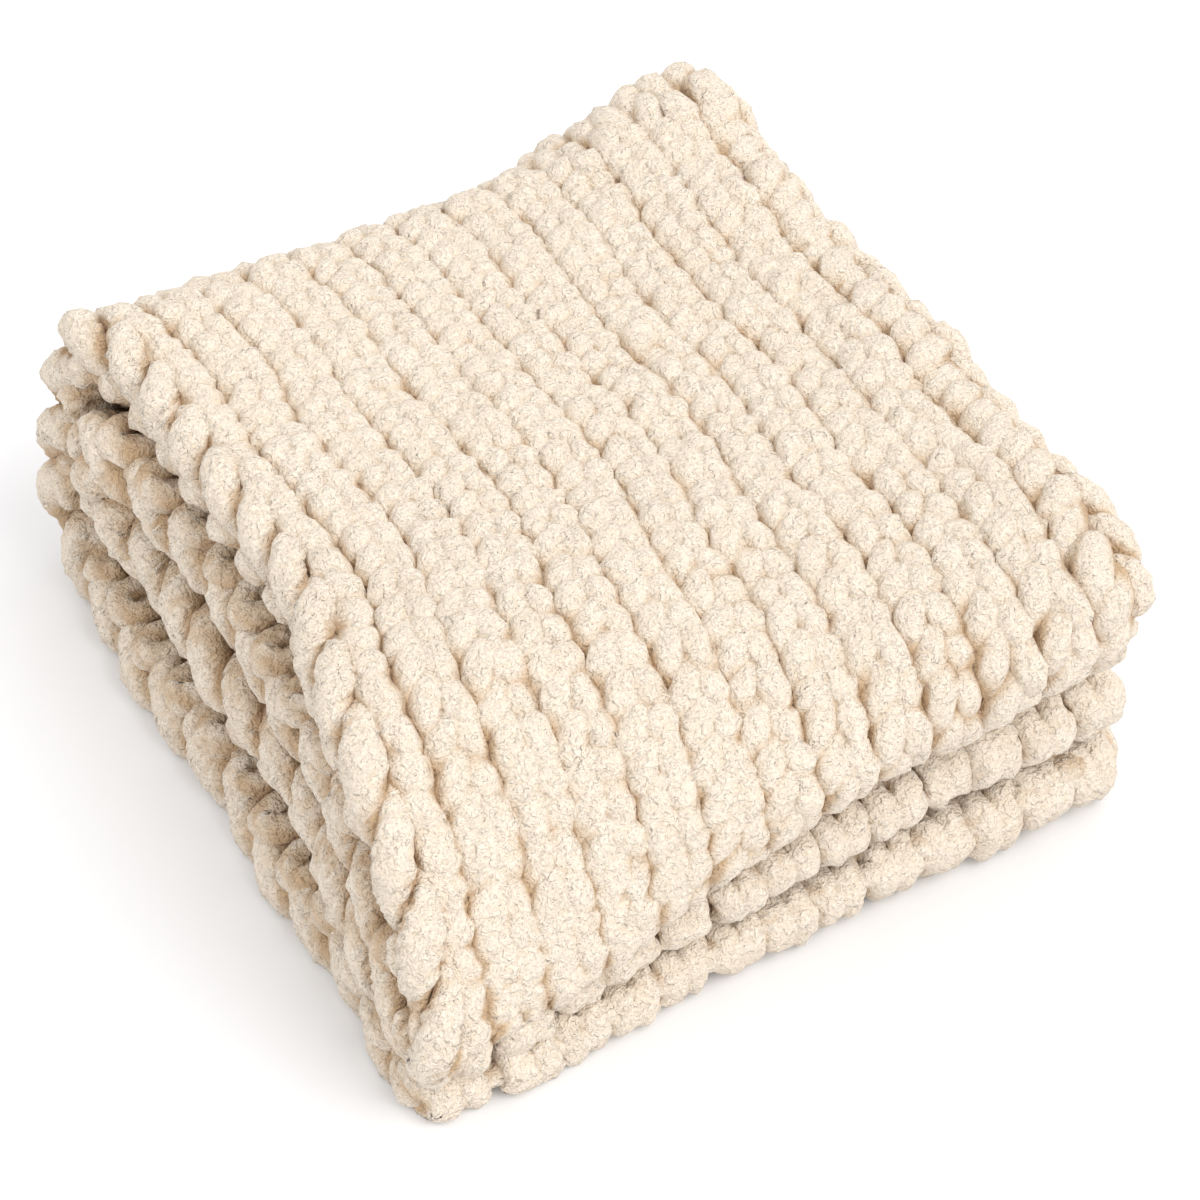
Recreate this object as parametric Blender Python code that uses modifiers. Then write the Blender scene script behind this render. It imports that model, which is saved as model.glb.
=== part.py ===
"""A chunky knitted blanket, folded in half twice into a stack of four layers.

The cloth is one strip. Its section, from the side, starts at the free front end of the third layer,
runs back, folds up into the second layer, runs forward, rolls over into the top layer, runs back and
wraps down behind the stack into the bottom layer, whose free end lies at the front. The stack slumps at
its front left corner. Columns of stitches run from front to back, and show as ribs.
Metres, +X to the right, +Y to the back, +Z up.
"""

from collections import namedtuple
from math import pi

import bmesh
import bpy
import numpy as np

OBJECT_NAME = "knit_blanket"
COLLECTION_NAME = "Folded chunky knit blanket"

# Cloth
WALES = 13  # columns of stitches across the cloth
LEGS_PER_WALE = 2  # each stitch is a V of two legs, and each leg reads as one rib
POINTS_PER_LEG = 2
LAYERS = 4
THICKNESS_SHARE = 0.88  # the cloth's thickness as a share of the room that each layer has
GROOVE_SHARE = 0.68  # thickness in the groove between two ribs, as a share of that at a crest
SELVEDGE_SHARE = 0.60  # thickness at the outermost edges, which rounds them
SELVEDGE_RIB_SHARE = 1.06  # the chain of edge stitches is a little fatter than the ribs
FREE_END_SHARE = (0.55, 0.94)  # thickness of the last two rows at a free end
SCALLOP = 0.006  # how far each column's last stitch stands out at a free end
TALLEST_LAYER = 0.064  # the thickness that a full weight stands for

# Stack
BACK_FACE = 0.239  # y of the cloth's middle where it wraps down behind the stack
OUTER_WRAP_DEPTH = 0.052
OUTER_WRAP_SQUARENESS = 3.0  # 2 is an ellipse, and more is squarer
INNER_FOLD_TIP = 0.192  # y of the cloth's middle where the inner layers fold up
ROLL_TIP = -0.236  # y of the cloth's middle at the front of the roll
BOTTOM_END = -0.243  # y of the free end of the bottom layer, and of the third
THIRD_END = -0.238
END_SKEW = 0.004  # how much further forward both ends lie at the left edge
LEFT_FOOT = -0.243  # the left edge at the surface that the stack rests on
RIGHT_FOOT = 0.221
RIGHT_TOP = 0.220
WANDER = 0.003  # how far the side edges stray to either side
WANDER_TURNS = 33.0  # radians for each metre along the stack
WANDER_LAG = 9.0  # radians from the bottom of the stack to its top
FLAT_BAND = 0.0135  # what lies lower than this rests flat on the surface
SLUMP_START = -0.100  # y where the top starts to fall away to the front
SLUMP_POWER = 2.0

# The height of the whole stack over x: along the back, halfway and at the very front
Height = namedtuple("Height", "x back middle front")
HEIGHTS = (
    Height(-0.240, 0.223, 0.206, 0.100),
    Height(-0.160, 0.218, 0.209, 0.108),
    Height(-0.080, 0.210, 0.210, 0.140),
    Height(0.000, 0.209, 0.209, 0.164),
    Height(0.080, 0.218, 0.209, 0.188),
    Height(0.140, 0.239, 0.212, 0.203),
    Height(0.190, 0.250, 0.216, 0.214),
    Height(0.230, 0.231, 0.215, 0.219),
)

# How far the top layer's left edge lies in from the bottom layer's, from front to back
Inset = namedtuple("Inset", "y top")
LEFT_INSETS = (
    Inset(-0.260, -0.004),
    Inset(-0.180, 0.002),
    Inset(-0.130, 0.012),
    Inset(-0.060, 0.029),
    Inset(0.020, 0.034),
    Inset(0.110, 0.036),
    Inset(0.250, 0.016),
)

# The section's stretches in order: level is a share of the stack's height
Stretch = namedtuple("Stretch", "name kind level_from level_to steps")
STRETCHES = (
    Stretch("third layer", "run", 0.375, 0.375, 7),
    Stretch("inner back fold", "inner", 0.375, 0.625, 6),
    Stretch("second layer", "run", 0.625, 0.625, 6),
    Stretch("front roll", "roll", 0.625, 0.875, 6),
    Stretch("top layer", "run", 0.875, 0.875, 8),
    Stretch("outer back wrap", "outer", 0.875, 0.125, 8),
    Stretch("bottom layer", "run", 0.125, 0.125, 7),
)
FREE_END_STEP = 0.022  # the last row's share of a run that ends free
HALF_FOLD = 0.125  # half of a small fold's level difference

CREAM = (0.86, 0.79, 0.67, 1.0)
ROUGHNESS = 0.95


def smooth_table(at, places, values):
    """Values at the given places of a smooth curve through a table's points."""
    places = np.asarray(places, float)
    values = np.asarray(values, float)
    slopes = np.gradient(values, places)
    at = np.clip(at, places[0], places[-1])
    i = np.clip(np.searchsorted(places, at, side="right") - 1, 0, len(places) - 2)
    width = places[i + 1] - places[i]
    t = (at - places[i]) / width
    start = values[i] * (1 + 2 * t) * (1 - t) ** 2 + slopes[i] * width * t * (1 - t) ** 2
    end = values[i + 1] * t**2 * (3 - 2 * t) + slopes[i + 1] * width * t**2 * (t - 1)
    return start + end


def stack_height(x, y):
    """The height of the stack's top over a point of the surface it rests on."""
    xs = [row.x for row in HEIGHTS]
    back = smooth_table(x, xs, [row.back for row in HEIGHTS])
    middle = smooth_table(x, xs, [row.middle for row in HEIGHTS])
    front = smooth_table(x, xs, [row.front for row in HEIGHTS])
    to_back = np.clip(y / BACK_FACE, 0, 1.1) ** 2
    to_front = np.clip((SLUMP_START - y) / (SLUMP_START - ROLL_TIP), 0, 1.06) ** SLUMP_POWER
    return middle + (back - middle) * to_back + (front - middle) * to_front


def edge_places(level, y):
    """The cloth's left and right edge at a level of the stack and a place along it."""
    inset = smooth_table(y, [row.y for row in LEFT_INSETS], [row.top for row in LEFT_INSETS])
    rise = (level - 0.125) / 0.75
    wander = WANDER * np.sin(WANDER_TURNS * y + WANDER_LAG * level)
    left = LEFT_FOOT + inset * rise + wander
    right = RIGHT_FOOT + (RIGHT_TOP - RIGHT_FOOT) * rise + 0.6 * wander
    return left, right


def run_ends(name, x):
    """The y where a layer starts and where it ends, in the order of the section."""
    inner = INNER_FOLD_TIP - HALF_FOLD * stack_height(x, INNER_FOLD_TIP)
    roll = ROLL_TIP + HALF_FOLD * stack_height(x, ROLL_TIP)
    outer = BACK_FACE - OUTER_WRAP_DEPTH + 0 * x
    skew = END_SKEW * np.clip(-x / RIGHT_FOOT, 0, 1)
    return {
        "third layer": (THIRD_END - skew, inner),
        "second layer": (inner, roll),
        "top layer": (roll, outer),
        "bottom layer": (outer, BOTTOM_END - skew),
    }[name]


def run_steps(stretch):
    """Shares of a layer's length, with one short step where the layer ends free."""
    shares = np.linspace(0, 1, stretch.steps + 1)
    if stretch.name == "third layer":
        shares = np.insert(shares, 1, FREE_END_STEP)
    if stretch.name == "bottom layer":
        shares = np.insert(shares, -1, 1 - FREE_END_STEP)
    return shares


def section(across):
    """Rows of (y, level) along the strip for each place across it, from free end to free end."""
    x = LEFT_FOOT + (RIGHT_FOOT - LEFT_FOOT) * across
    rows = []
    for stretch in STRETCHES:
        if stretch.kind == "run":
            start, end = run_ends(stretch.name, x)
            points = [(start + t * (end - start), stretch.level_from + 0 * x) for t in run_steps(stretch)]
        else:
            middle = (stretch.level_from + stretch.level_to) / 2
            half = (stretch.level_to - stretch.level_from) / 2
            points = []
            for angle in np.linspace(0, pi, stretch.steps + 1):
                out, up = np.sin(angle), -np.cos(angle)
                if stretch.kind == "outer":
                    power = 2 / OUTER_WRAP_SQUARENESS
                    out, up = abs(out) ** power, np.sign(up) * abs(up) ** power
                    y = BACK_FACE - OUTER_WRAP_DEPTH * (1 - out)
                elif stretch.kind == "inner":
                    y = INNER_FOLD_TIP - HALF_FOLD * stack_height(x, INNER_FOLD_TIP) * (1 - out)
                else:
                    y = ROLL_TIP + HALF_FOLD * stack_height(x, ROLL_TIP) * (1 - out)
                points.append((y + 0 * x, middle + half * up + 0 * x))
        rows += points[1:] if rows else points
    return np.array(rows)


def cloth_middle():
    """The cloth's middle surface as a grid of points, and its thickness at each."""
    columns = WALES * LEGS_PER_WALE * POINTS_PER_LEG
    across = np.linspace(0, 1, columns + 1)
    rows = section(across)
    y, level = rows[:, 0], rows[:, 1]
    scallop = SCALLOP * np.abs(np.sin(pi * WALES * across))
    y[:2] -= scallop
    y[-2:] -= scallop
    left, right = edge_places(level, y)
    x = left + (right - left) * across
    height = stack_height(x, y)
    points = np.stack([x, y, level * height], axis=2)

    room = height / LAYERS
    tilt_y = level * (stack_height(x, y + 0.001) - height) / 0.001
    tilt_x = level * (stack_height(x + 0.001, y) - height) / 0.001
    thickness = THICKNESS_SHARE * room / np.sqrt(1 + tilt_x**2 + tilt_y**2)
    crest = np.arange(columns + 1) % POINTS_PER_LEG == 1
    thickness *= np.where(crest, 1, GROOVE_SHARE)
    thickness[:, [0, -1]] *= SELVEDGE_SHARE / GROOVE_SHARE
    thickness[:, [1, -2]] *= SELVEDGE_RIB_SHARE
    for i, share in enumerate(FREE_END_SHARE):
        thickness[[i, -1 - i]] *= share
    return points, thickness


def cloth_material():
    material = bpy.data.materials.new("Cream chenille knit")
    material.use_nodes = True
    shader = material.node_tree.nodes["Principled BSDF"]
    shader.inputs["Base Color"].default_value = CREAM
    shader.inputs["Roughness"].default_value = ROUGHNESS
    shader.inputs["Metallic"].default_value = 0.0
    return material


def cloth_surface():
    """The cloth's middle surface as an open mesh, with a Solidify modifier that gives it its thickness."""
    points, thickness = cloth_middle()
    rows, columns = thickness.shape
    grid = bmesh.new()
    bmesh.ops.create_grid(grid, x_segments=columns - 1, y_segments=rows - 1, size=0.5)
    grid.verts.ensure_lookup_table()
    weights = []
    for vertex in grid.verts:
        column = round((vertex.co.x + 0.5) * (columns - 1))
        row = round((vertex.co.y + 0.5) * (rows - 1))
        vertex.co = points[row, column]
        weights.append(float(thickness[row, column] / TALLEST_LAYER))
    mesh = bpy.data.meshes.new(OBJECT_NAME)
    grid.to_mesh(mesh)
    grid.free()
    surface = bpy.data.objects.new(OBJECT_NAME, mesh)
    group = surface.vertex_groups.new(name="thickness")
    for index, weight in enumerate(weights):
        group.add([index], weight, "REPLACE")
    wall = surface.modifiers.new("Thickness", "SOLIDIFY")
    wall.thickness = TALLEST_LAYER
    wall.offset = 0
    wall.vertex_group = group.name
    wall.thickness_vertex_group = 0
    return surface


def settled(surface, collection):
    """The surface as one solid mesh that lies flat where it rests, with its origin under its middle."""
    collection.objects.link(surface)
    evaluated = surface.evaluated_get(bpy.context.evaluated_depsgraph_get())
    solid = bpy.data.meshes.new_from_object(evaluated)
    bpy.data.objects.remove(surface)
    body = bmesh.new()
    body.from_mesh(solid)
    for vertex in body.verts:
        if vertex.co.z < FLAT_BAND:
            vertex.co.z = 0
    xs = [vertex.co.x for vertex in body.verts]
    ys = [vertex.co.y for vertex in body.verts]
    middle = ((min(xs) + max(xs)) / 2, (min(ys) + max(ys)) / 2, 0)
    bmesh.ops.translate(body, verts=body.verts, vec=[-value for value in middle])
    bmesh.ops.recalc_face_normals(body, faces=body.faces)
    body.to_mesh(solid)
    body.free()
    solid.shade_smooth()
    return bpy.data.objects.new(OBJECT_NAME, solid)


def main():
    for old in list(bpy.data.objects):
        bpy.data.objects.remove(old)
    collection = bpy.data.collections.new(COLLECTION_NAME)
    bpy.context.scene.collection.children.link(collection)
    blanket = settled(cloth_surface(), collection)
    blanket.data.materials.clear()
    blanket.data.materials.append(cloth_material())
    collection.objects.link(blanket)


main()
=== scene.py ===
# A throw knitted from jumbo chenille yarn, folded in half twice, made here stitch by stitch.
# Metres, +X to the right, +Y to the back, +Z up.
from math import pi, radians

import bpy
import numpy as np
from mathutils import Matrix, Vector


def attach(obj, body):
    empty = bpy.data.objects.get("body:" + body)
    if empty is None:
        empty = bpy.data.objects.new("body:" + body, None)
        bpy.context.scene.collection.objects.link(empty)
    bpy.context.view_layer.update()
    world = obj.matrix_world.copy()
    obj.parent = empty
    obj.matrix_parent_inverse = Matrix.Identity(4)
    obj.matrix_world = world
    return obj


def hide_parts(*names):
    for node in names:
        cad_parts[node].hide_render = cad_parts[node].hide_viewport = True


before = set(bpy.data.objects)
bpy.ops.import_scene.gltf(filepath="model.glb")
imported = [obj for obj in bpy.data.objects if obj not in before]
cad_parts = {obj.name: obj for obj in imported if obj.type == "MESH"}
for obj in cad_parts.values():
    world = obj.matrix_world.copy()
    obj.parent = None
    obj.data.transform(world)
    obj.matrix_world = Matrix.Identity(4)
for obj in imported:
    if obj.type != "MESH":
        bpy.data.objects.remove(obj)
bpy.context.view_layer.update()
print("frame loaded")

# The folded stack: its sizes are its solid's, and only the bulges come on top
stack = {
    "origin": (-0.01086, 0.00249),  # where the model's origin lies among the places below
    "backFace": 0.239,
    "outerWrapDepth": 0.052,  # the wrap round the back, and how square it is: 2 is a half ellipse
    "outerWrapSquareness": 3.0,
    "innerFoldTip": 0.192,
    "rollTip": -0.236,
    "bottomEnd": -0.243,  # the cloth's two free ends
    "thirdEnd": -0.238,
    "endSkew": 0.004,  # how much further forward they lie at the left
    "leftFoot": -0.243,  # where the bottom layer's edges lie, and at the right the top layer's
    "rightFoot": 0.221,
    "rightTop": 0.220,
    "wander": 0.003,  # the edges' slow wave, and its share at the right edge
    "rightWander": 0.6,
    "wanderTurns": 33.0,
    "wanderLag": 9.0,
    "slumpStart": -0.100,  # where the slump begins: from here the stack falls to the front
    "backReach": 1.1,  # how far the height goes on changing past the back, and past the front roll
    "slumpReach": 1.06,
    "layers": 4,
    "clothShare": 0.88,  # the cloth's thickness as a share of a layer's room
    # height of the whole stack over x: along the back, halfway and at the very front
    "heights": [
        (-0.240, 0.223, 0.206, 0.100),
        (-0.160, 0.218, 0.209, 0.108),
        (-0.080, 0.210, 0.210, 0.140),
        (0.000, 0.209, 0.209, 0.164),
        (0.080, 0.218, 0.209, 0.188),
        (0.140, 0.239, 0.212, 0.203),
        (0.190, 0.250, 0.216, 0.214),
        (0.230, 0.231, 0.215, 0.219),
    ],
    # how far the top layer's left edge lies in from the bottom layer's, from front to back
    "leftInsets": [
        (-0.260, -0.004),
        (-0.180, 0.002),
        (-0.130, 0.012),
        (-0.060, 0.029),
        (0.020, 0.034),
        (0.110, 0.036),
        (0.250, 0.016),
    ],
    # where the soft stack stands out or is drawn in: its middle (x, y, level), its reach in each, and the
    # push in x, y and z
    "bulges": [
        ((-0.240, -0.205, 0.20), (0.050, 0.050, 0.40), (-0.010, -0.003, 0.000)),
        ((-0.190, -0.245, 0.15), (0.070, 0.050, 0.35), (0.000, -0.006, 0.000)),
        ((-0.235, -0.236, 0.78), (0.080, 0.060, 0.24), (-0.002, -0.009, -0.015)),
        ((0.225, -0.070, 0.90), (0.050, 0.120, 0.25), (0.008, 0.000, 0.000)),
        ((0.225, -0.200, 0.35), (0.060, 0.070, 0.25), (-0.006, 0.000, 0.000)),
        ((-0.235, 0.150, 0.40), (0.050, 0.090, 0.35), (0.004, 0.000, 0.000)),
        ((-0.150, -0.236, 0.66), (0.100, 0.050, 0.16), (0.000, -0.005, -0.016)),
        ((-0.150, -0.245, 0.375), (0.100, 0.050, 0.12), (0.000, 0.004, -0.005)),
        ((-0.235, 0.165, 0.60), (0.050, 0.060, 0.20), (-0.008, 0.000, 0.015)),
        ((-0.235, 0.195, 0.62), (0.060, 0.035, 0.14), (-0.004, 0.004, 0.013)),
        ((-0.212, -0.245, 0.375), (0.036, 0.040, 0.12), (0.000, -0.007, 0.004)),
    ],
}
# level of each layer's middle, where the floor is 0 and the top is 1
bottomLevel, thirdLevel, secondLevel, topLevel = (np.arange(stack["layers"]) + 0.5) / stack["layers"]
slopeStep = 0.001  # slopes are worked out over this step

# The knitted cloth
knit = {
    "wales": 13,  # columns of stitches across the cloth
    "edgeWaleShare": (0.100, 0.082),  # share of the width for the first and last column, with their chain
    "coursePitch": 0.0180,  # one row of stitches to the next, along the cloth
    "yarnRadius": 0.0079,
    "squashFrom": 0.60,  # a yarn is pressed flat where this share of half the cloth is thinner than it
    "legLean": 0.205,  # how far a stitch's legs lean, as a share of a column
    "legSkew": 0.09,  # how much more its right leg leans than its left one
    "legShift": 0.38,  # and how far it lies ahead of it, in courses
    "legBulge": 0.48,  # how much fatter a leg is where it stands highest, and how suddenly
    "legBulgePower": 6,
    "legCrowd": 0.050,  # how far the two legs of a stitch crowd together, as a share of a column
    "reach": 1.12,  # how far a stitch reaches to either side of its course, in courses
    "flatTop": 0.10,  # from 0, a stitch arches through the cloth, to 1, its legs lie flat along the face
    "turnReach": 0.34,  # how far the yarn goes out where it turns at the edge, in edge columns
    "turnPower": 0.8,  # below 1 the turn is fuller than a sine's bow
    "turnDip": 0.78,  # how far back the yarn lies halfway round it, where 1 is the cloth's back
    "turnSwell": 0.30,  # how much fatter the yarn is where it turns
    "edgeSwell": 0.18,  # how much fatter the legs beside the side chains are
    "edgeLeg": 0.75,  # where these lie, and how far from there they are fatter, in columns from the edge
    "edgeLegReach": 0.25,
    "swell": 0.10,  # how much fatter and thinner the yarn gets along its way
    "rim": 0.024,  # this near the side edges the yarn shows all through the cloth's thickness
    "rimCourses": 1.6,  # and this near its ends
    "rimShade": 0.94,  # how near to the outside it counts along the sides: lower gives them more painted shade
    "coveredBefore": -2,  # course before which other layers lie on both faces
    "strayWale": 0.040,  # how far the yarn strays along its course, off it and out of the cloth
    "strayCourse": 0.17,
    "strayLift": 0.0028,
    "wander": 0.13,  # how far the columns wander slowly, in columns
    # the noise of each of these: where it starts, and its size in stitches
    "noises": {
        "strayWale": (11.7, 0.9),
        "strayCourse": (5.3, 0.9),
        "strayLift": (17.9, 1.2),
        "wander": (41.2, 3.6),
        "swell": (29.3, 0.7),
    },
    "faceApart": 0.4,  # how far the cloth's middle lies from its faces in that noise
    "rightStray": 1.8,  # how much more it strays towards the right edge
    # stitches are longer towards the front of the top layer: course counted from the roll, relative length
    "pitches": [(-60, 1.0), (-4, 1.04), (3, 1.12), (10, 1.12), (18, 0.93), (26, 0.90), (32, 1.0), (70, 1.0)],
    "linesPerCourse": 4,
    "columns": 53,
}

# The chain of long stitches along each side edge
chain = {
    "strandRadius": (0.0099, 0.0078),  # at the left and the right edge
    "fromEdge": (0.0158, 0.0100),  # the chain's middle from the cloth's edge
    "halfWidth": (0.0070, 0.0048),  # half the oval that its strands go round
    "halfHeight": (0.0096, 0.0062),
    "raise": (0.0044, -0.0010),  # how far its middle lies above the cloth's
    "coursesPerLink": (2.35, 1.55),  # after which its two strands have changed places
    "stepsPerCourse": 7,
    "swell": 0.22,  # how much fatter a strand is at the upper outer side of its oval
    "uneven": (0.13, 0.26),  # how unevenly thick it is
    "stray": (0.0026, 0.0046),  # how far the chain strays to the side and up
    # the noise of each: where it starts, and its size in courses
    "sideNoise": (0.4, 1.3),
    "upNoise": (7.4, 1.3),
    "unevenNoise": (13.4, 1.1),
    "strandApart": 5,  # how far apart the strands lie in that noise, and the two chains
    "chainApart": 40,
    # its size by course: it is fullest round the folds
    "fullness": [(-60, 1.18), (-31, 1.18), (-27, 1.30), (-23, 1.18), (-5, 1.10), (1, 1.05), (9, 1.0),
                 (26, 1.0), (31, 1.12), (36, 1.18), (70, 1.18)],
    "leastFit": 0.72,  # how far down the chain is squashed to fit between the layers
    "fromEnd": 0.7,  # courses between a strand's end and the cloth's
    "roundedEnd": 0.8,  # courses over which a strand's end is rounded off, and how thin it gets
    "leastEnd": 0.15,
    "shelteredFrom": -2,  # the chain takes painted shade below the top layer: before this course
    "shelteredPast": 31,  # and past this one
    "sides": 20,
}

# The cast-on and bound-off edges: at each of the cloth's two free ends the legs curl round in pairs
curledEnd = {
    "radius": 0.0092,
    "swell": 0.36,  # how much fatter a leg is at the very end
    "uneven": 0.22,
    "crowd": 0.085,  # how far the two legs of a pair crowd together there, in columns
    "past": 0.0055,  # how far the pairs stand out past the cloth's end
    "stray": 0.004,  # how far a pair strays in and out
    "sway": 0.10,  # how far a leg sways to the side, in columns
    # the noise of these and of a leg's unevenness: its size in legs, or for the stray in pairs
    "swayNoise": 1.3,
    "strayNoise": 0.8,
    "unevenNoise": 1.1,
    "unevenStart": 8.3,
    "noiseAlong": 1.5,  # how far half a leg's length goes through it
    "turnShare": 0.62,  # the share of a leg's length that goes round the end
    "tail": 0.022,  # how far a leg runs back into the cloth
    "inside": 0.004,  # how far behind the turn its inside is taken
    "leastHalf": 0.0165,  # the turn is at least this high where the cloth is thinner
    "roundedEnd": 0.26,  # share of half a leg over which its end is rounded off, and how thin it gets
    "leastEnd": 0.15,
    "pocketShade": 0.04,  # how much painted shade darkens its hidden side
    "steps": 22,
    "sides": 16,
}


def smoothTable(at, table, column=1):
    # a smooth curve through a table's points: cubic pieces whose slopes are the table's own
    places = np.array([row[0] for row in table], float)
    values = np.array([row[column] for row in table], float)
    slopes = np.gradient(values, places)
    at = np.clip(at, places[0], places[-1])
    i = np.clip(np.searchsorted(places, at, side="right") - 1, 0, len(places) - 2)
    width = places[i + 1] - places[i]
    t = (at - places[i]) / width
    start = values[i] * (1 + 2 * t) * (1 - t) ** 2 + slopes[i] * width * t * (1 - t) ** 2
    end = values[i + 1] * t**2 * (3 - 2 * t) + slopes[i + 1] * width * t**2 * (t - 1)
    return start + end


def stackHeight(x, y):
    # the stack's height over a point: the middle height, rising with the square of the way to the back
    # and falling with the square of the way into the slump at the front
    back, middle, front = [smoothTable(x, stack["heights"], column) for column in (1, 2, 3)]
    toBack = np.clip(y / stack["backFace"], 0, stack["backReach"]) ** 2
    slump = (stack["slumpStart"] - y) / (stack["slumpStart"] - stack["rollTip"])
    slump = np.clip(slump, 0, stack["slumpReach"])
    return middle + (back - middle) * toBack + (front - middle) * slump**2


def edgePlaces(level, y):
    # x of the left and right edge: straight lines up the stack, plus a slow wave along it
    rise = (level - bottomLevel) / (topLevel - bottomLevel)
    wave = stack["wander"] * np.sin(stack["wanderTurns"] * y + stack["wanderLag"] * level)
    left = stack["leftFoot"] + smoothTable(y, stack["leftInsets"]) * rise + wave
    right = stack["rightFoot"] + (stack["rightTop"] - stack["rightFoot"]) * rise
    right += stack["rightWander"] * wave
    return left, right


def bulged(points, level):
    # each push fades as a bell with the way from its middle, measured in its reaches
    places = points + np.array((*stack["origin"], 0))
    for (x, y, atLevel), (reachX, reachY, reachLevel), push in stack["bulges"]:
        away = ((places[..., 0] - x) / reachX) ** 2 + ((places[..., 1] - y) / reachY) ** 2 \
            + ((level - atLevel) / reachLevel) ** 2
        points = points + np.exp(-away)[..., None] * np.array(push)
    return points


def sectionRows(across, runSteps=60, foldSteps=28):
    # rows of (y, level) along the strip, from the third layer's free end to the bottom layer's: layers are
    # straight, the two small folds are half circles, and the wrap at the back is a squared half ellipse
    x = stack["leftFoot"] + (stack["rightFoot"] - stack["leftFoot"]) * across
    halfLayer = 0.5 / stack["layers"]
    innerHalf = stackHeight(x, stack["innerFoldTip"]) * halfLayer
    rollHalf = stackHeight(x, stack["rollTip"]) * halfLayer
    inner = stack["innerFoldTip"] - innerHalf
    roll = stack["rollTip"] + rollHalf
    outer = stack["backFace"] - stack["outerWrapDepth"] + 0 * x
    skew = stack["endSkew"] * np.clip(-x / stack["rightFoot"], 0, 1)
    run = np.linspace(0, 1, runSteps)[:, None]
    turn = np.linspace(0, pi, foldSteps)[1:-1, None]
    out, up = np.sin(turn), -np.cos(turn)
    squared = 2 / stack["outerWrapSquareness"]
    flat = 0 * x
    pieces = [
        (stack["thirdEnd"] - skew + (inner - stack["thirdEnd"] + skew) * run, thirdLevel + flat + 0 * run),
        (inner + innerHalf * out, (thirdLevel + secondLevel) / 2 + halfLayer * up + flat),
        (inner + (roll - inner) * run, secondLevel + flat + 0 * run),
        (roll - rollHalf * out, (secondLevel + topLevel) / 2 + halfLayer * up + flat),
        (roll + (outer - roll) * run, topLevel + flat + 0 * run),
        (outer + stack["outerWrapDepth"] * out**squared,
         (topLevel + bottomLevel - (topLevel - bottomLevel) * np.sign(up) * abs(up) ** squared) / 2 + flat),
        (outer + (stack["bottomEnd"] - skew - outer) * run, bottomLevel + flat + 0 * run),
    ]
    tipRow = 2 * runSteps + (foldSteps - 2) + (foldSteps - 2) // 2
    y, level = [np.concatenate(part) for part in zip(*pieces)]
    return y, level, tipRow


def clothGrid():
    # the cloth's middle surface, its facing and half its thickness, on a grid of course lines (rows,
    # counted from the tip of the front roll) and equal shares of the width (columns)
    across = np.linspace(0, 1, knit["columns"])
    y, level, tipRow = sectionRows(across)
    left, right = edgePlaces(level, y)
    x = left + (right - left) * across
    height = stackHeight(x, y)
    tiltY = level * (stackHeight(x, y + slopeStep) - height) / slopeStep
    tiltX = level * (stackHeight(x + slopeStep, y) - height) / slopeStep
    half = stack["clothShare"] * height / stack["layers"] / 2 / np.sqrt(1 + tiltX**2 + tiltY**2)
    points = np.stack([x - stack["origin"][0], y - stack["origin"][1], level * height], axis=2)
    points = bulged(points, level)

    steps = np.linalg.norm(np.diff(points, axis=0), axis=2)
    along = np.concatenate([np.zeros((1, len(across))), np.cumsum(steps, axis=0)])
    along -= along[tipRow]
    behind = round(float(-along[0].mean()) / knit["coursePitch"])
    ahead = round(float(along[-1].mean()) / knit["coursePitch"])
    lines = np.linspace(-behind, ahead, (behind + ahead) * knit["linesPerCourse"] + 1)
    pace = smoothTable(lines, knit["pitches"])
    reached = np.concatenate([[0], np.cumsum((pace[1:] + pace[:-1]) / 2)])
    reached -= np.interp(0, lines, reached)
    reached = reached[:, None]
    share = np.where(reached < 0, reached / -reached[0] * -along[0], reached / reached[-1] * along[-1])
    columns = range(len(across))
    grid = np.stack(
        [np.stack([np.interp(share[:, j], along[:, j], points[:, j, axis]) for j in columns], axis=1)
         for axis in range(3)], axis=2)
    thick = np.stack([np.interp(share[:, j], along[:, j], half[:, j]) for j in columns], axis=1)
    facing = np.cross(np.gradient(grid, axis=1), np.gradient(grid, axis=0))
    facing /= np.linalg.norm(facing, axis=2, keepdims=True)
    length = float((along[-1] - along[0]).mean())
    return grid, facing, thick, behind, ahead, length


pastLast = 1.001  # keeps a place a hair before the grid's last row and column


def gridColumn(share):
    # the grid's column before a share of the width, and how far on the place is to the next one
    column = np.clip(share * (knit["columns"] - 1), 0, knit["columns"] - pastLast)
    return column.astype(int), column - column.astype(int)


def nearestLine(course):
    # the grid's row nearest to a course
    row = np.round((course + coursesBehind) * knit["linesPerCourse"])
    return np.clip(row, 0, len(clothPoints) - 1).astype(int)


def onCloth(share, course, lift):
    # a place on the cloth: between the grid's rows and columns in proportion, then out along its facing
    row = np.clip((course + coursesBehind) * knit["linesPerCourse"], 0, len(clothPoints) - pastLast)
    i = row.astype(int)
    j, v = gridColumn(share)
    u, v = (row - i)[..., None], v[..., None]

    def between(grid):
        near = grid[i, j] * (1 - v) + grid[i, j + 1] * v
        far = grid[i + 1, j] * (1 - v) + grid[i + 1, j + 1] * v
        return near * (1 - u) + far * u

    facing = between(clothFacing)
    facing /= np.linalg.norm(facing, axis=-1, keepdims=True)
    return between(clothPoints) + facing * lift[..., None], facing


def halfThickness(share, course):
    # half the cloth's thickness there: between the grid's columns in proportion, on the nearest row
    i = nearestLine(course)
    j, v = gridColumn(share)
    return clothHalf[i, j] * (1 - v) + clothHalf[i, j + 1] * v


def edgeShare(distance, course):
    # a distance from the cloth's left edge as a share of its width there
    width = np.linalg.norm(clothPoints[:, -1] - clothPoints[:, 0], axis=1)
    return distance / width[nearestLine(course)]


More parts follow.
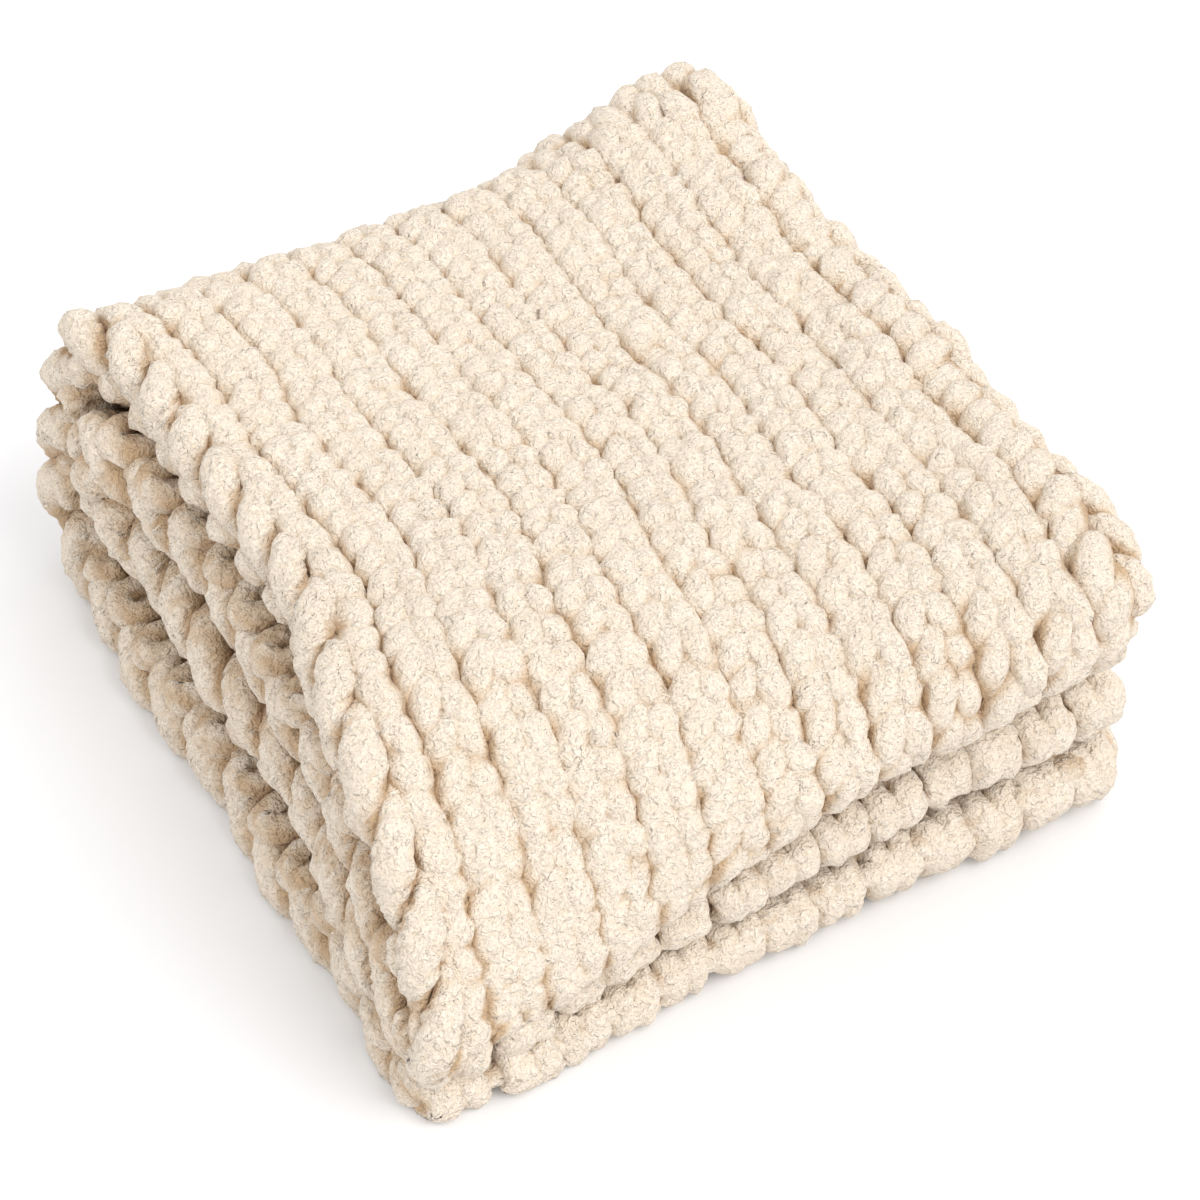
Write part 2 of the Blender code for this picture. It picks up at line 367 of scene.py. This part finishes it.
# What the yarns stray by
latticeSize = 24
lattice = np.random.default_rng(7).random((latticeSize, latticeSize, latticeSize)) * 2 - 1


def softNoise(points, size):
    # smooth noise from -1 to 1: random values on a lattice of that spacing, eased between its corners
    place = points / size
    low = np.floor(place).astype(int)
    t = place - low
    t = t * t * (3 - 2 * t)
    total = 0
    for corner in np.ndindex(2, 2, 2):
        weight = np.prod(np.where(corner, t, 1 - t), axis=-1)
        a, b, c = [(low[..., axis] + corner[axis]) % latticeSize for axis in range(3)]
        total = total + weight * lattice[a, b, c]
    return total


# How the lowest yarns lie on the floor
resting = {
    "sinks": 0.0034,  # how far they come down, and from which height on
    "below": 0.030,
    "clear": 0.0003,  # what stays between them and the floor
}


def settle(points):
    # what would hang a little above the floor comes down to it, the lower the more, and nothing below it
    z = points[:, 2]
    z -= resting["sinks"] * np.clip(1 - z / resting["below"], 0, 1)
    points[:, 2] = np.maximum(z, resting["clear"])
    return points


# The yarn's pile
pile = {
    "height": 0.0036,  # how far it stands out in clumps
    "size": 0.0088,
    "fineShare": 0.5,  # finer clumps, half as big, lie over them: how high they are for their size
    "fineStart": 3.1,  # where their noise starts
    "level": 0.38,  # the clumps' noise that lies at the yarn's own size
    "creaseShade": 0.28,  # how much painted shade darkens the creases between clumps
    "pocketShade": 0.20,  # and how much it darkens the sides that face another layer
    "nearest": 1.2,  # the greatest nearness to the outside that a point keeps
}


def sweptYarn(path, guide, wide, tall, sides, middle, facing, reach, covered, rim=None, shade=1,
              pocketShade=pile["pocketShade"]):
    # a yarn: rings of points round a path, as wide and as tall as said there, its pile standing out in
    # rounded clumps. Each point keeps how near it comes to the outside, which sets its painted shade: its
    # height over the cloth's middle, or at least the rim's value, or without a rim its way out from the
    # given middle;
    # less where another layer covers it and in the creases between clumps, more on the clumps' tops
    run = np.gradient(path, axis=0)
    run /= np.linalg.norm(run, axis=1, keepdims=True)
    side = np.cross(guide, run)
    side /= np.linalg.norm(side, axis=1, keepdims=True)
    up = np.cross(run, side)
    turn = np.arange(sides) * 2 * pi / sides
    outward = np.cos(turn)[:, None] * side[:, None, :] * wide[:, None, None] \
        + np.sin(turn)[:, None] * up[:, None, :] * tall[:, None, None]
    rings = path[:, None, :] + outward
    outward /= np.linalg.norm(outward, axis=2, keepdims=True)
    fineClumps = abs(softNoise(rings + pile["fineStart"], pile["size"] / 2))
    clumps = abs(softNoise(rings, pile["size"])) + pile["fineShare"] * fineClumps - pile["level"]
    offset = rings - middle[:, None, :]
    height = np.sum(offset * facing[:, None, :], axis=2) / reach[:, None]
    if rim is None:
        distance = np.linalg.norm(path - middle, axis=1) + (wide + tall) / 2
        nearness = np.linalg.norm(offset, axis=2) * (shade / distance)[:, None]
    else:
        nearness = np.maximum(abs(height), rim[:, None])
    # painted shade: nearness drops on the sides that face another layer and in the clumps' creases
    hidden = np.clip(np.where(covered[:, None], abs(height), -height), 0, 1) ** 2
    nearness = np.clip(nearness - pocketShade * hidden + pile["creaseShade"] * clumps, 0, pile["nearest"])
    rings = rings + outward * (pile["height"] * clumps)[..., None]
    points = settle(np.concatenate([rings.reshape(-1, 3), path[:1], path[-1:]]))
    return points, np.append(nearness.reshape(-1), [0, 0]), *tubeFaces(len(path), sides)


def tubeFaces(count, sides):
    # four-sided faces between each two rings, and a fan over each end
    ring = np.arange(sides)
    after = np.roll(ring, -1)
    here = (np.arange(count - 1) * sides)[:, None]
    quads = np.stack([here + ring, here + after, here + sides + after, here + sides + ring], axis=2)
    first, last = count * sides, count * sides + 1
    lastRing = (count - 1) * sides
    startFan = np.stack([np.full(sides, first), after, ring], axis=1)
    endFan = np.stack([np.full(sides, last), lastRing + ring, lastRing + after], axis=1)
    corners = np.concatenate([quads.reshape(-1), startFan.reshape(-1), endFan.reshape(-1)])
    return corners, np.concatenate([np.full(quads.shape[0] * sides, 4), np.full(2 * sides, 3)])


def yarnPiece(name, lengths):
    # one mesh of several lengths of yarn
    starts = np.cumsum([0] + [len(length[0]) for length in lengths])
    points = np.concatenate([length[0] for length in lengths])
    nearness = np.concatenate([length[1] for length in lengths])
    corners = np.concatenate([length[2] + start for length, start in zip(lengths, starts)])
    sizes = np.concatenate([length[3] for length in lengths])
    mesh = bpy.data.meshes.new(name)
    mesh.vertices.add(len(points))
    mesh.vertices.foreach_set("co", points.astype(np.float32).reshape(-1))
    mesh.loops.add(len(corners))
    mesh.loops.foreach_set("vertex_index", corners.astype(np.int32))
    mesh.polygons.add(len(sizes))
    mesh.polygons.foreach_set("loop_start", (np.cumsum(sizes) - sizes).astype(np.int32))
    mesh.polygons.foreach_set("loop_total", sizes.astype(np.int32))
    mesh.update(calc_edges=True)
    mesh.validate()
    mesh.shade_smooth()
    mesh.attributes.new("nearness", "FLOAT", "POINT").data.foreach_set("value", nearness.astype(np.float32))
    piece = bpy.data.objects.new(name, mesh)
    bpy.context.scene.collection.objects.link(piece)
    return piece


def waleShare(wale):
    # a place counted in columns of stitches as a share of the cloth's width: the edge columns are wider
    first, last = knit["edgeWaleShare"]
    return np.interp(wale, [0, 1, knit["wales"] - 1, knit["wales"]], [0, first, 1 - last, 1])


def knitNoise(place, name):
    # how far the yarn strays or swells there: that noise, as strong as the value of the same name
    start, size = knit["noises"][name]
    return knit[name] * softNoise(place + start, size)


def courseYarn(firstCourse, lastCourse, stepsAtEdge, stepsInside, sides):
    # the yarn of some courses, to and fro: along a course it goes forward with t, sways twice a stitch with
    # sin 2t, reaches back and forth with cos t, and goes through the cloth and back with -cos 2t
    last = knit["wales"] - 1
    pieces = [np.linspace(pi, 2 * pi, stepsAtEdge // 2, endpoint=False)]
    for wale in range(1, last):
        steps = stepsAtEdge if wale in (1, last - 1) else stepsInside
        pieces.append(np.linspace(wale * 2 * pi, (wale + 1) * 2 * pi, steps, endpoint=False))
    pieces.append(np.linspace(last * 2 * pi, last * 2 * pi + pi, stepsAtEdge // 2 + 1))
    t = np.concatenate(pieces)
    lean = knit["legLean"] + knit["legSkew"] * np.sin(t)
    wale = t / (2 * pi) + lean * np.sin(2 * t) + knit["legCrowd"] * np.sin(t)
    ahead = knit["reach"] * np.cos(t) + knit["legShift"] / 2 * np.sin(t)
    depth = -np.cos(2 * t)
    depth += knit["flatTop"] * (np.sin(depth * pi / 2) - depth)
    turn = np.linspace(0, pi, stepsAtEdge // 2)[1:-1]
    turnWale = knit["turnReach"] * np.sin(turn) ** knit["turnPower"]
    turnAhead = -knit["reach"] + (1 - np.cos(turn)) / 2
    turnDepth = -1 + (1 - knit["turnDip"]) * np.sin(turn)
    bulge = knit["legBulge"] * np.sin(t) ** knit["legBulgePower"]
    turnSwell = knit["turnSwell"] * np.sin(turn)
    evenWale = np.concatenate([wale, last + 0.5 + turnWale])
    oddWale = np.concatenate([wale[::-1], 0.5 - turnWale])
    evenAhead = np.concatenate([ahead, turnAhead])
    oddAhead = np.concatenate([ahead[::-1], turnAhead])
    evenDepth = np.concatenate([depth, turnDepth])
    oddDepth = np.concatenate([depth[::-1], turnDepth])
    courses = np.arange(firstCourse, lastCourse)[:, None]
    even = courses % 2 == 0
    wales = np.where(even, evenWale, oddWale)
    course = courses + 0.5 + np.where(even, evenAhead, oddAhead)
    depths = np.where(even, evenDepth, oddDepth)
    fatness = 1 + np.where(even, np.append(bulge, turnSwell), np.append(bulge[::-1], turnSwell)).reshape(-1)
    wales, course, depths = wales.reshape(-1), course.reshape(-1), depths.reshape(-1)

    # the noise is looked up at the place in the even knitting, apart for the cloth's two faces
    place = np.stack([wales, course, depths * knit["faceApart"]], axis=1)
    stray = 1 + knit["rightStray"] * np.clip(wales / knit["wales"], 0, 1) ** 2
    course = course + stray * knitNoise(place, "strayCourse")
    inward = np.clip(np.minimum(wales, knit["wales"] - wales), 0, 1)
    wales = wales + stray * knitNoise(place, "strayWale") + inward * knitNoise(place, "wander")
    share = waleShare(wales)
    half = halfThickness(share, course)
    besideEdge = abs(np.minimum(wales, knit["wales"] - wales) - knit["edgeLeg"]) / knit["edgeLegReach"]
    swell = fatness + knit["edgeSwell"] * np.clip(1 - besideEdge, 0, 1) + stray * knitNoise(place, "swell")
    tall = np.minimum(knit["yarnRadius"] * swell, knit["squashFrom"] * half)
    sunk = stray * knitNoise(place, "strayLift")
    lift = depths * (half - tall) + sunk
    path, facing = onCloth(share, course, lift)
    middle = path - facing * lift[:, None]
    fromEdge = np.minimum(share, 1 - share) / edgeShare(1, course)
    fromEnd = np.minimum(course + coursesBehind, coursesAhead - course)
    # along the sides the nearness is held to that value, which paints some shade there
    sideRim = np.minimum(knit["rimShade"], pile["nearest"] - fromEdge / knit["rim"])
    rim = np.maximum(sideRim, pile["nearest"] - fromEnd / knit["rimCourses"])
    return sweptYarn(path, facing, knit["yarnRadius"] * swell, tall, sides, middle, facing,
                     half + depths * sunk, course < knit["coveredBefore"], rim)


def sideChain(strand, atRight, firstCourse, lastCourse):
    # one strand of the chain along a side edge: round and round an upright oval while it goes along
    steps = int((lastCourse - firstCourse) * chain["stepsPerCourse"]) + 1
    course = np.linspace(firstCourse, lastCourse, steps)
    strandRadius, fromMiddle, halfWidth, halfHeight, raised, coursesPerLink, unevenness, stray = [
        chain[name][atRight] for name in ("strandRadius", "fromEdge", "halfWidth", "halfHeight", "raise",
                                          "coursesPerLink", "uneven", "stray")]
    size = smoothTable(course, chain["fullness"])
    turn = pi * course / coursesPerLink + pi * strand
    place = np.stack([course, 0 * course, 0 * course + chain["chainApart"] * atRight], axis=1)

    # smooth noise along the chain, with its own start and size
    def chainNoise(name, apart=0):
        start, noiseSize = chain[name]
        return softNoise(place + start + apart, noiseSize)

    middle = fromMiddle + stray * chainNoise("sideNoise")
    fromEdge = edgeShare(middle - size * halfWidth * np.cos(turn), course)
    share = 1 - fromEdge if atRight else fromEdge
    half = halfThickness(share, course)
    fit = np.clip(half / (raised + halfHeight + strandRadius), chain["leastFit"], 1)
    rise = (raised + size * halfHeight * np.sin(turn)) * fit + stray * chainNoise("upNoise")
    path, facing = onCloth(share, course, rise)
    core = edgeShare(middle, course)
    inside, _ = onCloth(1 - core if atRight else core, course, raised * fit)
    uneven = unevenness * chainNoise("unevenNoise", chain["strandApart"] * strand)
    wide = size * strandRadius * (1 + chain["swell"] * np.cos(turn - pi / 4) + uneven)
    toEnd = np.clip(np.minimum(course - firstCourse, lastCourse - course) / chain["roundedEnd"], 0, 1)
    wide *= np.maximum(np.sqrt(1 - (1 - toEnd) ** 2), chain["leastEnd"])
    # painted shade: below the top layer the chain counts as less near the outside
    sheltered = np.maximum(chain["shelteredFrom"] - course, course - chain["shelteredPast"])
    shade = 1 - (1 - knit["rimShade"]) * np.clip(sheltered, 0, 1)
    return sweptYarn(path, path - inside, wide, wide * (1 + fit) / 2, chain["sides"], inside, facing, half,
                     course < knit["coveredBefore"], shade=shade)


def curledLegs(course, forward):
    # the legs at a free end: each runs out along one face, goes round the end in a half circle and runs back
    # along the other face, and swells and leans to its partner on the way
    legs = 2 * knit["wales"]
    s, leg = np.meshgrid(np.linspace(-1, 1, curledEnd["steps"]), np.arange(legs), indexing="ij")
    turn = np.clip(s / curledEnd["turnShare"], -1, 1) * pi / 2
    tail = np.clip((abs(s) - curledEnd["turnShare"]) / (1 - curledEnd["turnShare"]), 0, 1)
    lean = np.where(leg % 2 == 0, 1, -1) * curledEnd["crowd"]
    along = s * curledEnd["noiseAlong"]
    sway = softNoise(np.stack([leg, along, forward + 0 * s], axis=2), curledEnd["swayNoise"])
    share = waleShare((leg + 0.5) / 2 + lean * np.cos(turn) + curledEnd["sway"] * sway)
    end = course + 0 * s
    half = np.maximum(halfThickness(share, end), curledEnd["leastHalf"])
    tall = np.minimum(curledEnd["radius"], knit["squashFrom"] * half)
    rest = half - tall
    stray = softNoise(np.stack([leg // 2, forward + 0 * s, 0 * s], axis=2), curledEnd["strayNoise"])
    outward = curledEnd["past"] + curledEnd["stray"] * stray - tall - rest * (1 - np.cos(turn))
    outward -= curledEnd["tail"] * tail
    edge, facing = onCloth(share, end, 0 * s)
    out = edge - onCloth(share, end - forward, 0 * s)[0]
    out /= np.linalg.norm(out, axis=2, keepdims=True)
    path = edge + out * outward[..., None] + facing * (rest * np.sin(turn))[..., None]
    inside = edge + out * (curledEnd["past"] - half - curledEnd["inside"])[..., None]
    uneven = softNoise(np.stack([leg, along, forward + curledEnd["unevenStart"] + 0 * s], axis=2),
                       curledEnd["unevenNoise"])
    toEnd = np.clip((1 - abs(s)) / curledEnd["roundedEnd"], 0, 1)
    rounded = np.maximum(np.sqrt(1 - (1 - toEnd) ** 2), curledEnd["leastEnd"])
    swell = curledEnd["swell"] * np.cos(turn) + curledEnd["uneven"] * uneven
    wide = curledEnd["radius"] * (1 + swell) * rounded
    tall = tall * rounded
    parts = []
    for i in range(legs):
        parts.append(sweptYarn(path[:, i], path[:, i] - inside[:, i], wide[:, i], tall[:, i],
                               curledEnd["sides"], inside[:, i], facing[:, i], half[:, i], half[:, i] > 0,
                               pocketShade=curledEnd["pocketShade"]))
    return parts


# The cloth's own middle, which the yarns are worked round
ground = {
    "thickness": 0.006,
    "fromEdge": 0.04,  # how far it stays in from the side edges, as a share of the width
    "fromEnd": 1,  # and from the ends, in courses
    "rowPitch": 0.5,  # from one of its rows to the next, in courses
    "columns": 27,
}


def groundSheet():
    # the cloth's middle surface as a thin closed sheet: the cloth's grid, a little in from its edges
    first, last = ground["fromEnd"] - coursesBehind, coursesAhead - ground["fromEnd"]
    course = np.arange(first, last + ground["rowPitch"], ground["rowPitch"])
    share = np.linspace(ground["fromEdge"], 1 - ground["fromEdge"], ground["columns"])
    shares, courses = np.meshgrid(share, course)
    points, _ = onCloth(shares, courses, 0 * shares)
    rows, columns = shares.shape
    corner = (np.arange(rows - 1) * columns)[:, None] + np.arange(columns - 1)
    faces = np.stack([corner, corner + 1, corner + columns + 1, corner + columns], axis=2).reshape(-1, 4)
    mesh = bpy.data.meshes.new("clothGround")
    mesh.from_pydata(points.reshape(-1, 3).tolist(), [], faces.tolist())
    mesh.shade_smooth()
    piece = bpy.data.objects.new("clothGround", mesh)
    bpy.context.scene.collection.objects.link(piece)
    wall = piece.modifiers.new("Thickness", "SOLIDIFY")
    wall.thickness = ground["thickness"]
    wall.offset = 0
    return piece


# Cream chenille
chenille = {
    "cream": (0.832, 0.742, 0.637, 1),
    "dull": (0.816, 0.718, 0.607, 1),  # in slow patches
    "shade": (0.795, 0.680, 0.548, 1),  # painted shade between the pile's fibres and low between its tufts
    "creviceShade": (0.58, 0.41, 0.255, 1),  # painted shade deep between the yarns
    "roughness": 0.95,
    "sheen": 0.15,
    "sheenRoughness": 0.5,
    "specular": 0.1,
    "patchSize": 0.022,
    "patchRange": (0.40, 0.62),  # the patches' noise where they are dull, and where they are cream
    "fibreSizes": (0.0015, 0.0027),
    "fibreBend": 0.6,
    "fibreWidth": 0.10,  # how far the noise changes from a fibre's middle to where the fibre ends
    "fibreDepth": 0.00014,
    "plushSize": 0.0052,  # the pile stands in soft tufts, each rough with finer ones
    "plushDetail": 2.2,
    "plushRoughness": 0.66,
    "plushDepth": 0.0064,
    "plushRange": (0.36, 0.50),  # the tufts' noise where they are all in painted shade, and where they are light
    "creviceShadeFrom": 0.60,  # nearness to the outside where the painted shade is darkest, and where the yarn is cream
    "creviceShadeTo": 0.92,
}


def chenilleYarn():
    # cream pile of bent fibres on soft tufts: duller in slow patches, with painted shade between the fibres
    # and low between the tufts and the darkest painted shade deep between the yarns, with the tufts' and the
    # fibres' bump
    material = bpy.data.materials.new("creamChenille")
    material.use_nodes = True
    nodes, links = material.node_tree.nodes, material.node_tree.links
    shader = nodes["Principled BSDF"]
    shader.inputs["Roughness"].default_value = chenille["roughness"]
    shader.inputs["Sheen Weight"].default_value = chenille["sheen"]
    shader.inputs["Sheen Roughness"].default_value = chenille["sheenRoughness"]
    shader.inputs["Specular IOR Level"].default_value = chenille["specular"]
    place = nodes.new("ShaderNodeTexCoord").outputs["Object"]

    def noise(size, bend, detail, roughness=0.5):
        texture = nodes.new("ShaderNodeTexNoise")
        texture.inputs["Scale"].default_value = 1 / size
        texture.inputs["Detail"].default_value = detail
        texture.inputs["Roughness"].default_value = roughness
        texture.inputs["Distortion"].default_value = bend
        links.new(place, texture.inputs["Vector"])
        return texture.outputs["Fac"]

    def mapped(value, low, high):
        ramp = nodes.new("ShaderNodeMapRange")
        ramp.interpolation_type = "SMOOTHSTEP"
        ramp.inputs["From Min"].default_value = low
        ramp.inputs["From Max"].default_value = high
        links.new(value, ramp.inputs["Value"])
        return ramp.outputs["Result"]

    def mixed(factor, first, second):
        mix = nodes.new("ShaderNodeMix")
        mix.data_type = "RGBA"
        links.new(factor, mix.inputs["Factor"])
        for colour, socket in ((first, mix.inputs["A"]), (second, mix.inputs["B"])):
            if isinstance(colour, tuple):
                socket.default_value = colour
            else:
                links.new(colour, socket)
        return mix.outputs["Result"]

    def worked(operation, first, second=0.0):
        step = nodes.new("ShaderNodeMath")
        step.operation = operation
        for value, socket in ((first, step.inputs[0]), (second, step.inputs[1])):
            if isinstance(value, float):
                socket.default_value = value
            else:
                links.new(value, socket)
        return step.outputs["Value"]

    # a fibre lies wherever a noise passes its middle value, so the fibres curl and cross
    middleValue = 0.5
    fibres = []
    for size in chenille["fibreSizes"]:
        away = worked("ABSOLUTE", worked("SUBTRACT", noise(size, chenille["fibreBend"], 1), middleValue))
        fibres.append(mapped(away, chenille["fibreWidth"], 0))
    fibre = worked("MAXIMUM", *fibres)
    plush = noise(chenille["plushSize"], 0, chenille["plushDetail"], chenille["plushRoughness"])
    nearness = nodes.new("ShaderNodeAttribute")
    nearness.attribute_name = "nearness"

    patch = mapped(noise(chenille["patchSize"], 0, 1), *chenille["patchRange"])
    patches = mixed(patch, chenille["dull"], chenille["cream"])
    # painted shade: the pile takes the shade colour between the fibres and low between the tufts
    tuftLight = mapped(plush, *chenille["plushRange"])
    pileColour = mixed(worked("MULTIPLY", tuftLight, fibre), chenille["shade"], patches)
    # painted shade: the less near to the outside, the more the colour turns to the crevices' shade
    deep = mapped(nearness.outputs["Fac"], chenille["creviceShadeFrom"], chenille["creviceShadeTo"])
    links.new(mixed(deep, chenille["creviceShade"], pileColour), shader.inputs["Base Color"])

    # the fibres' bump is laid over the tufts'
    normal = None
    for height, depth in ((plush, chenille["plushDepth"]), (fibre, chenille["fibreDepth"])):
        bump = nodes.new("ShaderNodeBump")
        bump.inputs["Distance"].default_value = depth
        links.new(height, bump.inputs["Height"])
        if normal:
            links.new(normal, bump.inputs["Normal"])
        normal = bump.outputs["Normal"]
    links.new(normal, shader.inputs["Normal"])
    return material


clothPoints, clothFacing, clothHalf, coursesBehind, coursesAhead, clothLength = clothGrid()

# which courses each stretch of the cloth holds: first, last, the yarn's steps in a stitch at the edges and
# inside, and its sides; the courses at the very ends are left to the curled legs
endCourses = 1
stretches = [
    ("thirdLayer", -coursesBehind + endCourses, -27, 18, 8, 8),
    ("secondLayer", -27, -2, 18, 8, 8),
    ("frontRoll", -2, 8, 30, 30, 16),
    ("topLayerMiddle", 8, 18, 30, 30, 16),
    ("topLayerBack", 18, 28, 30, 30, 16),
    ("backWrap", 28, 40, 28, 26, 16),
    ("bottomLayer", 40, coursesAhead - endCourses, 20, 12, 10),
]
yarns = [yarnPiece(name, [courseYarn(*span)]) for name, *span in stretches]
print("courses knitted")
for side, atRight in (("left", False), ("right", True)):
    for strand in (0, 1):
        ends = -coursesBehind + chain["fromEnd"], coursesAhead - chain["fromEnd"]
        yarns.append(yarnPiece(f"{side}Chain{strand + 1}", [sideChain(strand, atRight, *ends)]))
yarns.append(yarnPiece("thirdLayerEnd", curledLegs(-coursesBehind, -1)))
yarns.append(yarnPiece("bottomLayerEnd", curledLegs(coursesAhead, 1)))
print("edges chained")

finish = chenilleYarn()
clothGround = groundSheet()
# the ground sheet keeps no nearness, so the material paints it all in the crevices' shade
for piece in [clothGround, *yarns]:
    piece.data.materials.append(finish)
    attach(piece, "root")
    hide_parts("knit_blanket")
counts = {piece.name: sum(face.loop_total - 2 for face in piece.data.polygons) for piece in yarns}
print("triangles:", counts, sum(counts.values()))

# The studio
studio = {
    "viewAzimuth": -29.826,  # degrees round from the front, positive to the right
    "viewElevation": 45.478,
    "viewTarget": (-0.002, -0.0151, 0.08),  # among the stack's places
    "viewDistance": 2.4,
    "focalLength": 122.43,  # millimetres, as the sensor's width
    "sensorWidth": 36,
    "seesTo": 50,
    "floorSize": 8.0,
    "floorColour": (0.77, 0.77, 0.78, 1),
    "floorRoughness": 0.8,
    "floorGlow": 0.05,
    "daylight": 1.19,
    "white": (1, 1, 1, 1),
    "sunAzimuth": 30,
    "sunElevation": 49,
    "sunSpread": 40,
    "sunPower": 1.31,
    "sunColour": (1, 0.985, 0.96),
}


def wayTo(azimuth, elevation):
    # the way to what stands that many degrees round from the front and up from the floor
    azimuth, elevation = radians(azimuth), radians(elevation)
    level = np.cos(elevation)
    return Vector((np.sin(azimuth) * level, -np.cos(azimuth) * level, np.sin(elevation)))


def studioCamera():
    # stands the viewing distance away from the target and looks at it
    camera = bpy.data.objects.new("camera", bpy.data.cameras.new("camera"))
    bpy.context.scene.collection.objects.link(camera)
    back = wayTo(studio["viewAzimuth"], studio["viewElevation"])
    target = Vector(studio["viewTarget"]) - Vector((*stack["origin"], 0))
    camera.location = target + back * studio["viewDistance"]
    camera.rotation_euler = back.to_track_quat("Z", "Y").to_euler()
    camera.data.lens = studio["focalLength"]
    camera.data.sensor_width = studio["sensorWidth"]
    camera.data.clip_end = studio["seesTo"]
    bpy.context.scene.camera = camera


def softSun():
    # a wide soft light from the front right
    sun = bpy.data.objects.new("sun", bpy.data.lights.new("sun", "SUN"))
    bpy.context.scene.collection.objects.link(sun)
    towards = wayTo(studio["sunAzimuth"], studio["sunElevation"])
    sun.rotation_euler = towards.to_track_quat("Z", "Y").to_euler()
    sun.data.angle = radians(studio["sunSpread"])
    sun.data.energy = studio["sunPower"]
    sun.data.color = studio["sunColour"]


def studioFloor():
    # a square of pale floor that glows a little
    mesh = bpy.data.meshes.new("floor")
    half = studio["floorSize"] / 2
    corners = [(-half, -half, 0), (half, -half, 0), (half, half, 0), (-half, half, 0)]
    mesh.from_pydata(corners, [], [(0, 1, 2, 3)])
    floor = bpy.data.objects.new("floor", mesh)
    bpy.context.scene.collection.objects.link(floor)
    material = bpy.data.materials.new("paleFloor")
    material.use_nodes = True
    shader = material.node_tree.nodes["Principled BSDF"]
    shader.inputs["Base Color"].default_value = studio["floorColour"]
    shader.inputs["Roughness"].default_value = studio["floorRoughness"]
    shader.inputs["Emission Color"].default_value = studio["white"]
    shader.inputs["Emission Strength"].default_value = studio["floorGlow"]
    mesh.materials.append(material)


studioCamera()
studioFloor()
softSun()
world = bpy.data.worlds.new("daylight")
world.use_nodes = True
world.node_tree.nodes["Background"].inputs["Color"].default_value = studio["white"]
world.node_tree.nodes["Background"].inputs["Strength"].default_value = studio["daylight"]
bpy.context.scene.world = world
bpy.context.scene.view_settings.view_transform = "Standard"
print("studio set")
